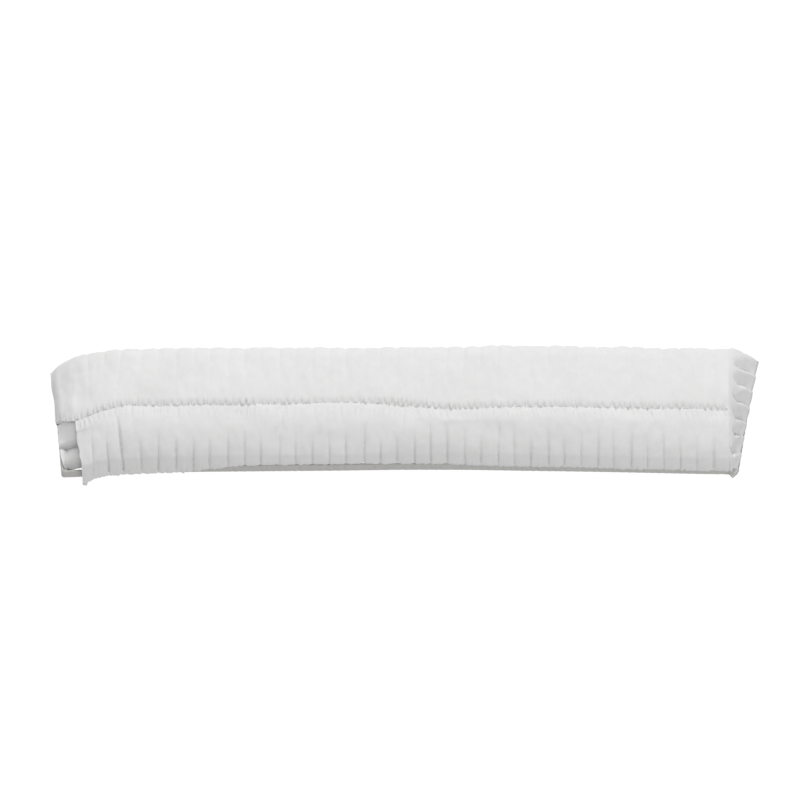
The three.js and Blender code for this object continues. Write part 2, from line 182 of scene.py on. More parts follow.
def spline(knots, values, places):
    """A smooth curve through the knots that doesn't overshoot them."""
    step = np.diff(knots)
    secant = np.diff(values) / step
    slope = np.zeros_like(values)
    same = secant[1:] * secant[:-1] > 0
    inner = np.where(same, 2 * secant[1:] * secant[:-1] / np.where(same, secant[1:] + secant[:-1], 1), 0)
    slope[1:-1] = inner
    slope[0], slope[-1] = secant[0], secant[-1]
    places = np.clip(places, knots[0], knots[-1])
    i = np.clip(np.searchsorted(knots, places, side="right") - 1, 0, len(step) - 1)
    t = (places - knots[i]) / step[i]
    h = step[i]
    return (
        values[i] * (1 + 2 * t) * (1 - t) ** 2
        + slope[i] * h * t * (1 - t) ** 2
        + values[i + 1] * t * t * (3 - 2 * t)
        + slope[i + 1] * h * t * t * (t - 1)
    )


def round_weights(knots, places):
    """How much each knot counts at each place on a round curve through the knots."""
    count = len(knots)
    weights = np.zeros((len(places), count))
    for k in range(count):
        unit = np.zeros(count)
        unit[k] = 1
        slope = np.gradient(unit, knots)
        i = np.clip(np.searchsorted(knots, places, side="right") - 1, 0, count - 2)
        h = knots[i + 1] - knots[i]
        t = (places - knots[i]) / h
        weights[:, k] = (
            unit[i] * (1 + 2 * t) * (1 - t) ** 2
            + slope[i] * h * t * (1 - t) ** 2
            + unit[i + 1] * t * t * (3 - 2 * t)
            + slope[i + 1] * h * t * t * (t - 1)
        )
    return weights


def unevenness(x, y, wavelength, seed, waves=28):
    """A smooth random field with bumps about a wavelength apart, and a spread of about 1."""
    random = np.random.default_rng(seed)
    total = np.zeros(np.broadcast(x, y).shape)
    for _ in range(waves):
        angle = random.uniform(0, math.pi)
        number = 2 * math.pi / (wavelength * random.uniform(0.65, 1.6))
        phase = random.uniform(0, 2 * math.pi)
        total += np.sin(number * (x * math.cos(angle) + y * math.sin(angle)) + phase)
    return total / math.sqrt(waves / 2)


def frills(x, shortest, longest, seed, waves=22):
    """Random gathers along one direction."""
    random = np.random.default_rng(seed)
    total = np.zeros(np.shape(x))
    for _ in range(waves):
        number = 2 * math.pi / random.uniform(shortest, longest)
        total += np.sin(number * x + random.uniform(0, 2 * math.pi))
    return total / math.sqrt(waves / 2)


SECTION_X = np.array([run_x(row[0], row[1]) for row in SECTIONS])
SECTION_VALUES = {name: column(SECTIONS, SECTION_COLUMNS, name) for name in SECTION_COLUMNS[2:]}


def section(name, x):
    return spline(SECTION_X, SECTION_VALUES[name], x)


def slanted(x, y):
    """Both ends run slanting across the strip."""
    across = y / (FRONT_DEPTH + REAR_DEPTH)
    nose = np.clip((NOSE_END - x) / NOSE_LENGTH, 0, None)
    flap = np.clip((x - RIDGE_END) / FLAP_RUN, 0, None)
    return x - LEFT_SKEW * across * nose + (RIGHT_SKEW * across + FLAP_OUT) * flap


# Where the grooves between the ribs lie, how far they lean, how deep and how long they are
rib_number = np.arange(RIB_COUNT)
rib_random = np.random.default_rng(11)
groove_x = (
    -HALF_LENGTH + FIRST_RIB + rib_number * RIB_PITCH
    + RIB_BOW * np.sin(math.pi * rib_number / (RIB_COUNT - 1))
    + RIB_WANDER * np.sin(2.4 * rib_number)
    + rib_random.uniform(-0.22, 0.22, RIB_COUNT)
)
groove_lean = rib_random.uniform(-0.5, 0.5, RIB_COUNT)
groove_lean -= 3.0 * np.exp(-((rib_number - 1.6) / 1.3) ** 2)  # the ribs at the left end lean
groove_depth = rib_random.uniform(0.75, 1.2, RIB_COUNT)
groove_depth[0] = 0.5
groove_depth[2] = 1.35
groove_length = rib_random.uniform(0.55, 0.85, RIB_COUNT)
groove_length[2] = 1.15
rear_depth_share = rib_random.uniform(0.6, 1.2, RIB_COUNT)


BEYOND = 40  # ribs that are counted on past either end, where there are no grooves


def rib_phase(x, lean_share):
    """The nearest groove's number, how far away it is, and whether there is such a groove."""
    lean = np.interp(x, groove_x, groove_lean) * lean_share
    before, after = groove_x[0] - BEYOND * RIB_PITCH, groove_x[-1] + BEYOND * RIB_PITCH
    place = np.interp(
        x - lean,
        np.concatenate([[before], groove_x, [after]]),
        np.concatenate([[-BEYOND], rib_number, [RIB_COUNT - 1 + BEYOND]]),
    )
    nearest = np.round(place)
    known = (nearest >= 0) & (nearest < RIB_COUNT)
    return np.clip(nearest, 0, RIB_COUNT - 1).astype(int), (place - nearest) * RIB_PITCH, known


ROLL_COLUMNS = 9
NOSE_COLUMNS = 42
COLUMNS_PER_RIB = 24
COLUMN_SPACING = 0.3  # past the last rib


def strip_columns():
    """Places along the strip: close together at the rounded left end and at the grooves."""
    turns = np.linspace(0, math.pi / 2, ROLL_COLUMNS)
    places = [-HALF_LENGTH + ROLL_LENGTH * (1 - math.cos(turn)) for turn in turns]
    start = groove_x[0] - RIB_PITCH / 2
    end = groove_x[-1] + RIB_PITCH / 2
    places += list(np.linspace(places[-1], start, NOSE_COLUMNS)[1:-1])
    bounds = np.concatenate([[start], (groove_x[:-1] + groove_x[1:]) / 2, [end]])
    shares = np.arange(COLUMNS_PER_RIB) / COLUMNS_PER_RIB
    for low, groove, high in zip(bounds[:-1], groove_x, bounds[1:]):
        places += list(np.interp(shares, [0, 0.5, 1], [low, groove, high]))
    past_ribs = 1 + max(2, round((RIDGE_END - end) / COLUMN_SPACING))
    places += list(np.linspace(end, RIDGE_END, past_ribs))
    return np.array(places)


# Fine rows along the cloth's cross-section, through the table's rows
row_y = column(ROWS, ROW_COLUMNS, "y")
row_z = column(ROWS, ROW_COLUMNS, "z")
row_side = np.array([row[0] for row in ROWS])
table_y = np.where(
    row_side == "front", -FRONT_DEPTH * row_y,
    np.where(row_side == "crease", LIP_LAP * row_y - CREASE_PLACE, REAR_DEPTH * row_y),
)
table_z = FOOT + row_z * (CROWN_HEIGHT - FOOT)
knots = np.concatenate([[0], np.cumsum(np.hypot(np.diff(table_y), np.diff(table_z)))])
STEPS_BETWEEN_ROWS = [2, 2, 2, 3, 5, 6, 6, 8, 3, 4, 2, 4, 2, 2, 8, 6, 5, 4, 3, 3, 2, 2]
fine_knots = np.concatenate(
    [np.linspace(knots[k], knots[k + 1], n, endpoint=False) for k, n in enumerate(STEPS_BETWEEN_ROWS)]
    + [[knots[-1]]]
)
fine_row_of = np.concatenate([[0], np.cumsum(STEPS_BETWEEN_ROWS)])
lip = fine_row_of[LIP_ROW]
weights = round_weights(knots, fine_knots)
FINE_ROWS = len(fine_knots)

front_rows = np.arange(FINE_ROWS) <= fine_row_of[NOTCH_ROW]
lip_knot = fine_knots[lip]
crease_knot = (fine_knots[fine_row_of[CREASE_ROW]] + fine_knots[fine_row_of[CREASE_ROW + 1]]) / 2
up = np.clip(fine_knots / crease_knot, 0, 1.2)  # up the front panel, 0 at its hem and 1 at the crease
behind = np.clip((fine_knots - lip_knot) / (fine_knots[-1] - lip_knot), 0, 1)  # from the lip to the rear hem


def shares_of(values):
    """The values of the table's rows, carried over to the fine rows."""
    return weights @ values


def row_values(name):
    return np.clip(shares_of(column(ROWS, ROW_COLUMNS, name)), 0, 1)


def places_along(x_columns):
    """X of each column at each row. The front panel's columns begin at its loose edge."""
    y_share = np.clip(shares_of(np.where(row_side == "front", row_y, 0.2)), -1, 2)
    loose_y, inward = [column(LOOSE_EDGE, LOOSE_EDGE_COLUMNS, name) for name in LOOSE_EDGE_COLUMNS]
    edge_in = RECESS_LENGTH * np.interp(y_share, loose_y, inward) * front_rows
    run = x_columns[:, None] + HALF_LENGTH
    drawn_in = -HALF_LENGTH + edge_in + run * (NOSE_LENGTH - edge_in) / NOSE_LENGTH
    return np.where(run < NOSE_LENGTH, drawn_in, x_columns[:, None])


def plain_section(x):
    """Y and Z of the cross-section, before it hangs over the band or rolls down."""
    is_front, is_crease, is_rear = row_side == "front", row_side == "crease", row_side == "rear"
    y = (
        section("reach", x) * shares_of(np.where(is_front, -FRONT_DEPTH * row_y, 0))
        + section("crease", x) * shares_of(np.where(is_crease, -FRONT_DEPTH, 0))
        + shares_of(np.where(is_crease, LIP_LAP * row_y - LIP_SETBACK, 0))
        + section("back", x) * shares_of(np.where(is_rear, REAR_DEPTH * row_y, 0))
    )
    rearward = np.where(is_rear, row_y, 0)
    z = (
        FOOT * shares_of(1 - row_z)
        + CROWN_HEIGHT * section("ridge", x) * shares_of(row_z * (1 - rearward))
        + CROWN_HEIGHT * section("shoulder", x) * shares_of(row_z * rearward)
    )
    return y, z


def hang_over_band(x, y, z):
    """The front panel hangs over the rim band here and there, and has a tip at the left end."""
    lap = section("lap", x) * front_rows
    low = np.clip(1 - shares_of(row_z) / LAP_START, 0, 1)
    y = y + (-FRONT_DEPTH * section("reach", x) - LAP_OUT - y) * lap * np.clip(2 * low - 0.6, 0, 1)
    z = z - lap * (FOOT - LAP_FOOT) * low
    tip = section("tip", x) * row_values("tip")
    return y - TIP_REACH * tip, z + (TIP_FOOT - z) * tip * tip


def rolled_share(x):
    """How far the rear panel has rolled down to the hem at the left end, from 0 to 1."""
    from_end = np.clip(1 - (x + HALF_LENGTH) / ROLL_LENGTH, 0, 1)
    return np.where(front_rows, 0, 1 - np.sqrt(np.clip(1 - from_end ** 2, 0, 1)))


def spread_over_end(x, y, rolled):
    """Spreads the rolled rows over the end's width, from the recess to the rear corner."""
    across = 0.35 * behind * behind * (3 - 2 * behind) + 0.65 * behind
    rear_corner = REAR_DEPTH * section("back", x) * row_y[-1]
    return y + (RECESS_TOP + (rear_corner - RECESS_TOP) * across - y) * rolled


def close_crease(x, values):
    """Draws the crease straight where the flap begins."""
    first, last = fine_row_of[CREASE_ROW], fine_row_of[RISE_ROW]
    between = np.arange(first, last + 1)
    share = (fine_knots[between] - fine_knots[first]) / (fine_knots[last] - fine_knots[first])
    closing = smoothstep(RIDGE_END - 2.4, RIDGE_END - 0.4, x[:, between])
    straight = values[:, [first]] * (1 - share) + values[:, [last]] * share
    closed = values.copy()
    closed[:, between] = values[:, between] * (1 - closing) + straight * closing
    return closed


def cloth_surface(x_columns):
    """The folded strip's smooth outer face, one line of points for each column."""
    x = places_along(x_columns)
    y, z = hang_over_band(x, *plain_section(x))
    rolled = rolled_share(x)
    y = close_crease(x, spread_over_end(x, y, rolled))
    z = close_crease(x, z)
    z = z + (FOOT - z) * rolled
    return np.stack([x, y, z], axis=-1)


def normals_of(points):
    along = np.gradient(points, axis=0)
    over = np.gradient(points, axis=1)
    normal = np.cross(along, over)
    length = np.linalg.norm(normal, axis=-1, keepdims=True)
    return normal / np.maximum(length, 1e-9)


def rib_relief(x):
    """Grooves between the ribs: deep and sharp low on the front panel, soft on the rear one."""
    number, away, known = rib_phase(x, np.where(front_rows, up, 1 - behind))
    length = groove_length[number]
    fade = np.where(front_rows, 1 - smoothstep(0.3 * length, length, up), 1)
    narrow = 0.3 + 0.4 * np.where(front_rows, up, 0.7)
    sharp = np.exp(-(np.abs(away) / narrow) ** 1.5)
    soft = np.exp(-(away / 1.5) ** 2)
    pillow = np.abs(np.cos(math.pi * away / RIB_PITCH)) ** 1.6
    shallow = 1 - 0.86 * np.exp(-(fine_knots / 1.7) ** 2)
    front_ribs = -groove_depth[number] * fade * shallow * (0.95 * sharp + 0.16 * soft)
    front_ribs = front_ribs - 0.12 * (1 - up) * pillow
    rear_ribs = -rear_depth_share[number] * row_values("rib") * (0.45 * sharp + 0.5 * soft)
    ribs = np.where(known, np.where(front_rows, front_ribs, rear_ribs), 0)
    return ribs * smoothstep(-HALF_LENGTH + 8, -HALF_LENGTH + 13, x)


# Single wrinkles of the front panel. x is at the crease, lean is how far the wrinkle's foot lies to the
# left of it, and low is how far up the panel it begins.
WRINKLE_COLUMNS = ["x", "lean", "low", "depth", "width"]
WRINKLES = [
    [-42.5, 4.2, 0.55, 0.4, 0.8],
    [-81.0, 1.5, 0.7, 0.25, 0.9],
    [0.6, 2.4, 0.6, 0.35, 0.7],
    [4.8, 3.0, 0.72, 0.3, 0.7],
    [35.5, 1.6, 0.45, 0.35, 0.7],
    [62.0, -1.8, 0.7, 0.25, 0.8],
    [-22.0, -1.4, 0.75, 0.25, 0.7],
    [88.5, 1.2, 0.7, 0.3, 0.7],
]


def wrinkle_relief(x):
    total = np.zeros_like(x)
    for row in WRINKLES:
        wrinkle = dict(zip(WRINKLE_COLUMNS, row))
        centre = wrinkle["x"] - wrinkle["lean"] * (1 - up)
        lies = smoothstep(wrinkle["low"], wrinkle["low"] + 0.15, up) * front_rows
        bend = 0.35 * np.sin(9 * up + wrinkle["x"])
        total -= wrinkle["depth"] * lies * np.exp(-((x - centre - bend) / wrinkle["width"]) ** 2)
    return total


# Fine gathers where the cloth is drawn in. reach is how fast they die out away from there.
GATHER_COLUMNS = ["where", "depth", "reach", "shortest", "longest", "seed"]
GATHERS = [
    ["crease", 0.13, 1.3, 0.9, 2.6, 5],
    ["lip", 0.2, 0.9, 1.0, 3.2, 6],
    ["hem", 0.12, 1.6, 1.4, 3.4, 7],
]


def gather_relief(x, y):
    distance = {
        "crease": np.where(front_rows, np.abs(fine_knots - crease_knot), np.inf),
        "lip": np.where(front_rows, np.inf, np.abs(fine_knots - lip_knot)),
        "hem": np.minimum(fine_knots, fine_knots[-1] - fine_knots),
    }
    total = np.zeros_like(x)
    for row in GATHERS:
        gather = dict(zip(GATHER_COLUMNS, row))
        place = x + 0.4 * np.sin(0.9 * y) if gather["where"] == "crease" else x
        near = np.exp(-distance[gather["where"]] / gather["reach"])
        fine = frills(place, gather["shortest"], gather["longest"], gather["seed"])
        total += gather["depth"] * near * fine
    return total


def slack_relief(x, y):
    """Slack cloth: wide low bumps that grow away from the hems, smaller ones and crinkles."""
    rise = 0.5 + 0.5 * np.where(front_rows, up, behind)
    return (
        0.16 * rise * unevenness(x, y, 26, 21)
        + 0.075 * unevenness(x, y * 0.45, 7, 22)
        + 0.03 * unevenness(x, y * 0.6, 3, 23)
    )


# The dent behind the crease near the left end, the curl at the end of the lip, and the crease's right end
DENT_COLUMNS = ["panel", "x", "y", "depth", "length", "width"]
DENTS = [
    ["rear", -113.6, 2.2, 0.7, 4.6, 4.4],
    ["rear", -118.6, 0.2, -0.45, 1.5, 2.6],
    ["both", RIDGE_END - 0.7, -2.6, 0.5, 0.4, 1.3],
]


def dent_relief(x, y):
    total = np.zeros_like(x)
    for row in DENTS:
        dent = dict(zip(DENT_COLUMNS, row))
        rows = ~front_rows if dent["panel"] == "rear" else 1
        along, across = (x - dent["x"]) / dent["length"], (y - dent["y"]) / dent["width"]
        total -= dent["depth"] * rows * np.exp(-along ** 2 - across ** 2)
    return total


def relief(points):
    """How far each point of the cloth stands out of the smooth form or lies behind it."""
    x, y = points[..., 0], points[..., 1]
    return rib_relief(x) + wrinkle_relief(x) + gather_relief(x, y) + slack_relief(x, y) + dent_relief(x, y)


def new_mesh():
    return {"points": [], "uv": [], "faces": []}


def add_points(mesh, points, material_xy):
    """Adds a grid of points with their places on the flat cloth, and gives the grid of their numbers."""
    start = len(mesh["points"])
    flat = points.reshape(-1, 3)
    mesh["points"].extend(flat.tolist())
    mesh["uv"].extend(material_xy.reshape(-1, 2).tolist())
    return (start + np.arange(len(flat))).reshape(points.shape[:-1])


def add_faces(mesh, grid, outward):
    a, b, c, d = grid[:-1, :-1], grid[1:, :-1], grid[1:, 1:], grid[:-1, 1:]
    quads = np.stack([a, b, c, d] if outward else [a, d, c, b], axis=-1).reshape(-1, 4)
    mesh["faces"].extend(quads.tolist())


def width_shares(points):
    """How far each point of a line lies across the strip, from 0 to 1."""
    across = (points[:, 1] - points[0, 1]) / (points[-1, 1] - points[0, 1])
    return np.maximum.accumulate(np.clip(across, 0, 1))


def add_seam(mesh, left, right, left_run, right_run):
    """Joins two edges that run side by side. Their points lie at these shares of the way along."""
    i = j = 0
    while i + 1 < len(left) or j + 1 < len(right):
        step_left = j + 1 == len(right) or (i + 1 < len(left) and left_run[i + 1] <= right_run[j + 1])
        ahead = left[i + 1] if step_left else right[j + 1]
        mesh["faces"].append([int(left[i]), int(right[j]), int(ahead)])
        i, j = (i + 1, j) if step_left else (i, j + 1)


def make_object(name, mesh, material):
    data = bpy.data.meshes.new(name)
    points = np.array(mesh["points"])
    points = (points + [SHIFT_X, SHIFT_Y, 0]) * MM
    data.from_pydata(points.tolist(), [], mesh["faces"])
    uv = data.uv_layers.new(name="cloth")
    corner_point = np.zeros(len(data.loops), np.int32)
    data.loops.foreach_get("vertex_index", corner_point)
    uv.data.foreach_set("uv", (np.array(mesh["uv"])[corner_point] * MM).astype(np.float32).ravel())
    data.polygons.foreach_set("use_smooth", np.ones(len(data.polygons), bool))
    data.materials.append(material)
    data.validate()
    data.update()
    piece = bpy.data.objects.new(name, data)
    bpy.context.scene.collection.objects.link(piece)
    return piece


# The flap: ridges that run down the sloping right end, each lapping a little over the next
FLAP_RIDGES = 7
FLAP_POINTS = 168
FLAP_LINES = 18
FLAP_OUTWARD = np.array([0.82, 0, 0.57])  # about square to the slope
RIDGE_DEPTH = 2.1
RIDGE_CREST = 0.72  # where on its width a ridge is highest, from its front foot
CORNER_DROP = 0.45  # how far down the flap the cloth hangs furthest over the band's corner
CORNER_RETURN = 0.62  # and over which share it comes back
CORNER_HANG = 2.4


def corner_y(x, side):
    if side == "front":
        return -FRONT_DEPTH * section("reach", x) * row_y[0]
    return REAR_DEPTH * section("back", x) * row_y[-1]


def over_corner_share(drop):
    """How far the cloth hangs over the band's front right corner at this share of the way down."""
    if drop < CORNER_DROP:
        return drop / CORNER_DROP
    return max(0.0, 1 - (drop - CORNER_DROP) / CORNER_RETURN)


def flap_plain(highest, share, drop):
    """One line across the plain flap. It slopes gently at first and is steepest near the hem."""
    x = np.full(len(share), RIDGE_END + drop * FLAP_RUN)
    over_corner = over_corner_share(drop)
    front = corner_y(x, "front") - 0.9 * min(1, 4 * drop) - (CORNER_FLARE + 0.1) * over_corner
    rear = corner_y(x, "rear") + min(1, 6 * drop)
    y = front + (rear - front) * share
    z = highest + (FOOT - highest) * (0.55 * drop + 0.45 * drop * drop)
    lowest = FOOT - CORNER_HANG * over_corner
    z = lowest + (z - lowest) * smoothstep(0, 0.012 + 0.1 * over_corner, share) ** 0.6
    z[-1] = FOOT
    x = x + (RIGHT_SKEW * y / (FRONT_DEPTH + REAR_DEPTH) + FLAP_OUT) * drop
    return np.stack([x, y, z], axis=-1)


def ridge_crests(number, phase):
    """How high the cloth lies on its ridge: a long slope down to the front, a short steep one behind."""
    front_slope = np.sin(phase / RIDGE_CREST * math.pi / 2) ** 1.3
    rear_slope = np.cos((phase - RIDGE_CREST) / (1 - RIDGE_CREST) * math.pi / 2)
    # the last ridge stays up at the rear edge
    rear_slope = np.where(number >= FLAP_RIDGES - 1, 1, rear_slope)
    return np.where(phase < RIDGE_CREST, front_slope, rear_slope)


def flap_surface(edge_line, points_across, drops):
    """Lines across the flap, from the strip's end down to the hem."""
    top_y = np.linspace(edge_line[0, 1], edge_line[-1, 1], points_across)
    ordered = np.argsort(edge_line[:, 1], kind="stable")
    highest = np.interp(top_y, edge_line[ordered, 1], edge_line[ordered, 2])
    share = np.linspace(0, 1, points_across)
    inside = smoothstep(0, 0.02, share) * smoothstep(0, 0.02, 1 - share)
    ridge_random = np.random.default_rng(31)
    shift = ridge_random.uniform(-0.09, 0.09, FLAP_RIDGES + 2)
    deep = ridge_random.uniform(0.65, 1.15, FLAP_RIDGES + 2)
    start = ridge_random.uniform(0.0, 0.22, FLAP_RIDGES + 2)
    lines = []
    for drop in drops:
        line = flap_plain(highest, share, drop)
        place = share * FLAP_RIDGES + 0.12 * math.sin(5 * drop)
        number = np.clip(np.floor(place).astype(int), 0, FLAP_RIDGES)
        bent = place + shift[number] * np.sin(math.pi * (place - number))
        crest = ridge_crests(number, np.clip(bent - number, 0, 1))
        strength = smoothstep(0, 0.42, drop - start[number]) * (1 - 0.7 * smoothstep(0.8, 1.0, drop)) * inside
        wrinkles = 0.08 * unevenness(share * 47, np.full(points_across, drop * 12.0), 3.5, 33)
        out = (wrinkles - (1 - crest) * deep[number] * RIDGE_DEPTH) * strength
        line = line + out[:, None] * FLAP_OUTWARD
        line[:, 2] = np.maximum(line[:, 2], FOOT if drop == 1 else 0)
        lines.append(line)
    return np.array(lines)


def flap_cloth_xy(flap):
    """The flap's places on the flat cloth, clear of the strip's."""
    return np.stack([flap[..., 0] - flap[..., 2], flap[..., 1] + 30], axis=-1)


# The crown's outer face is fine, and its inner face has only some of its lines
COLUMN_STEP = 4
FLAP_STEP = 4
INNER_LINES = np.array([5, 11, 17])


def gathered_surface(surface, normal):
    """The outer face with its ribs, wrinkles, gathers and frills."""
    points = surface + normal * relief(surface)[..., None]
    points[..., 0] = slanted(points[..., 0], points[..., 1])
    rows = np.arange(FINE_ROWS)
    # the frilled lip wanders in and out
    near_lip = np.exp(-((rows - lip) / 2.2) ** 2)
    points[..., 1] += 0.3 * near_lip * frills(surface[..., 0], 1.2, 4.0, 8)
    points[..., 2] += 0.14 * near_lip * frills(surface[..., 0], 0.9, 3.0, 9)
    # the rear hem stays level
    near_hem = np.exp(-((FINE_ROWS - 1 - rows) / 3.0) ** 2)
    points[..., 2] += (surface[..., 2] - points[..., 2]) * near_hem
    points[0, lip:, 2] = FOOT
    return points


def lay_on_band(mesh):
    """The rear panel's lower edge lies on the rim band and a little way into its top."""
    points = np.array(mesh["points"])
    near_band = np.clip(1 - (points[:, 2] - FOOT) / 1.5, 0, 1)
    points[:, 2] -= (HEM_CLEARANCE + WELD_DEPTH) * near_band * smoothstep(-6, 0, points[:, 1])
    mesh["points"] = points.tolist()


def crown_mesh():
    """The crown's cloth as a thin closed wall: the strip and its flap, outside and inside."""
    mesh = new_mesh()
    x_columns = strip_columns()
    surface = cloth_surface(x_columns)
    normal = normals_of(surface)
    outer_points = gathered_surface(surface, normal)
    cloth_xy = np.stack([surface[..., 0], np.broadcast_to(fine_knots, surface.shape[:2])], axis=-1)
    last_column = len(x_columns) - 1
    columns_in = np.unique(np.append(np.arange(0, last_column, COLUMN_STEP), last_column))
    picked = np.ix_(columns_in, fine_row_of)
    inner_points = outer_points[picked] - CLOTH_WALL * normal[picked]

    drops = np.linspace(0, 1, FLAP_LINES + 1)[1:]
    outer_flap = flap_surface(outer_points[-1], FLAP_POINTS + 1, drops)
    inner_flap = flap_surface(inner_points[-1], FLAP_POINTS // FLAP_STEP + 1, drops[INNER_LINES])
    inner_flap = inner_flap - CLOTH_WALL * FLAP_OUTWARD
    inner_flap[:, 0, 1] = inner_points[-1, 0, 1]
    inner_flap[:, -1, 1] = inner_points[-1, -1, 1]

    outer = add_points(mesh, outer_points, cloth_xy)
    inner = add_points(mesh, inner_points, cloth_xy[picked])
    flap = add_points(mesh, outer_flap, flap_cloth_xy(outer_flap))
    flap_in = add_points(mesh, inner_flap, flap_cloth_xy(inner_flap))
    for grid, outward in [(outer, True), (inner, False), (flap, True), (flap_in, False)]:
        add_faces(mesh, grid, outward)

    # where the strip meets its flap, then the front and rear hems, the left end and the flap's foot
    add_seam(mesh, outer[-1], flap[0], width_shares(outer_points[-1]), width_shares(outer_flap[0]))
    add_seam(mesh, flap_in[0], inner[-1], width_shares(inner_flap[0]), width_shares(inner_points[-1]))
    run = np.arange(len(x_columns) + FLAP_LINES)
    run_in = np.concatenate([columns_in, len(x_columns) + INNER_LINES])
    front, front_in = [*outer[:, 0], *flap[:, 0]], [*inner[:, 0], *flap_in[:, 0]]
    rear, rear_in = [*outer[:, -1], *flap[:, -1]], [*inner[:, -1], *flap_in[:, -1]]
    add_seam(mesh, front, front_in, run, run_in)
    add_seam(mesh, rear_in, rear, run_in, run)
    add_seam(mesh, inner[0], outer[0], fine_row_of, np.arange(FINE_ROWS))
    add_seam(mesh, flap[-1], flap_in[-1], np.arange(flap.shape[1]), np.arange(flap_in.shape[1]) * FLAP_STEP)
    lay_on_band(mesh)
    return mesh


# The rest of the cloth's width, folded back and forth under the crown
LAYER_COUNT = 5
LAYER_HALF_WALL = 0.32
LAYER_REAR = 14.0
LAYER_FRONT = 11.4
LAYER_BELOW_TOP = 2.3
LAYER_STACK = 5.2
LAYER_LOWEST = 1.2
LAYER_END_GAP = 0.35
LAYER_END_STEPS = [12.0, 12.7, 14.9, 18.4, 23.4]  # how far each fold shows to the front in the recess
LAYER_POINTS = 13
UNDER_ROLL = 2.5  # how far the folds end inside the rolled rear panel


def fold_lift(number, x, y, drawn):
    """How far a fold rises or sinks where it shows in the recess. drawn is 1 there and 0 further in."""
    if number == 1:
        # the highest fold in the recess rises to the rear panel's lip
        round_end = math.sqrt(min(1.0, (x + HALF_LENGTH) / ROLL_LENGTH))
        return 2.3 * drawn * round_end * smoothstep(-13, -5.5, y) * (1 - smoothstep(-3.2, 0, y))
    if number == 2:
        return -0.1 * drawn * (1 - smoothstep(-15, -12, y))
    if number == 3:
        return 0.35 * drawn * smoothstep(-17.5, -14.8, y) * (1 - smoothstep(-11, -8, y))
    if number == 4:
        return drawn * (1 - smoothstep(-24.0, -16, y))
    return np.zeros(LAYER_POINTS)


def fold_line(x, front_share):
    """The middle line of the folded layer in the cross-section at one place along the strip."""
    upper = CROWN_HEIGHT * float(section("ridge", x)) - LAYER_BELOW_TOP
    crease_y = -FRONT_DEPTH * float(section("crease", x))
    pitch = (upper - max(LAYER_LOWEST, upper - LAYER_STACK)) / (LAYER_COUNT - 1)
    drawn = float(np.clip((run_x("nose", 0.75) - x) / RECESS_LENGTH, 0, 1))
    line = [(crease_y + 2.9, upper + 1.0), (crease_y + 4.4, upper)]
    for number in range(LAYER_COUNT):
        front = -(LAYER_FRONT + (LAYER_END_STEPS[number] - LAYER_FRONT) * drawn)
        front += front_share[number] * (1 - drawn)
        rear = LAYER_REAR + 0.7 * front_share[number + 1]
        if number == 0:
            front = crease_y + 5.5
        first, last = (rear, front) if number % 2 else (front, rear)
        y = np.linspace(first, last, LAYER_POINTS)
        line += list(zip(y, upper - number * pitch + fold_lift(number, x, y, drawn)))
    line = np.array(line)
    swell = 0.12 * np.sin(line[:, 0] * 0.9 + x * 0.35) + 0.1 * math.sin(x * 1.04)
    line[:, 1] += swell * (0.4 + 0.6 * min(1, pitch / 1.2))
    # in the recess the lowest folds rise over the band's left end
    climb = 1 - smoothstep(-HALF_LENGTH + 1.3, -HALF_LENGTH + 3.2, x)
    over_band = HEM_HEIGHT + 0.4 - (upper - 3 * pitch)
    line[:, 1] += climb * over_band * (1 - smoothstep(-15.4, -13.8, line[:, 0]))
    return line


def unit(vectors):
    return vectors / np.maximum(np.linalg.norm(vectors, axis=1, keepdims=True), 1e-9)


def thickened(line, half_wall):
    """The closed outline of a wall along a line."""
    came = unit(np.diff(line, axis=0, prepend=2 * line[:1] - line[1:2]))
    goes = unit(np.diff(line, axis=0, append=2 * line[-1:] - line[-2:-1]))
    way = came + goes
    side = unit(np.stack([-way[:, 1], way[:, 0]], axis=1))
    return np.concatenate([line + half_wall * side, (line - half_wall * side)[::-1]])


def layers_mesh():
    """Doubled cloth that hangs from the crease, with its folds lying on one another."""
    mesh = new_mesh()
    start, turn, end = -HALF_LENGTH + LAYER_END_GAP, -HALF_LENGTH + LAYER_END_GAP + 4, RIDGE_END - 2.4
    x_columns = np.concatenate([np.linspace(start, turn, 11)[:-1], np.linspace(turn, end, 280)])
    fold_random = np.random.default_rng(41)
    front_share = fold_random.uniform(-0.8, 0.8, LAYER_COUNT + 1)
    loops = []
    for x in x_columns:
        outline = thickened(fold_line(x, front_share), LAYER_HALF_WALL)
        # beside the band the folds end inside it, and to the rear they end under the rolled rear panel
        gap = np.where(outline[:, 1] > FOOT + 0.2, LAYER_END_GAP, HEM_WALL + 0.1)
        gap = np.maximum(gap, LAYER_END_GAP + UNDER_ROLL * smoothstep(-4.9, -3.6, outline[:, 0]))
        inside = np.maximum(x, -HALF_LENGTH + gap)
        loops.append(np.column_stack([slanted(inside, outline[:, 0]), outline]))
    loops = np.array(loops)
    round_first = np.diff(np.concatenate([loops[0], loops[0, :1]]), axis=0)
    around = np.concatenate([[0], np.cumsum(np.linalg.norm(round_first, axis=1))])[:-1]
    cloth_xy = np.stack([loops[..., 0], np.broadcast_to(around, loops.shape[:2])], axis=-1)
    grid = add_points(mesh, loops, cloth_xy)
    add_faces(mesh, np.concatenate([grid, grid[:, :1]], axis=1), False)
    for line, outward in [(grid[0], True), (grid[-1], False)]:
        for i in range(len(line) // 2 - 1):
            quad = [int(line[i]), int(line[i + 1]), int(line[-2 - i]), int(line[-1 - i])]
            mesh["faces"].append(quad if outward else quad[::-1])
    return mesh


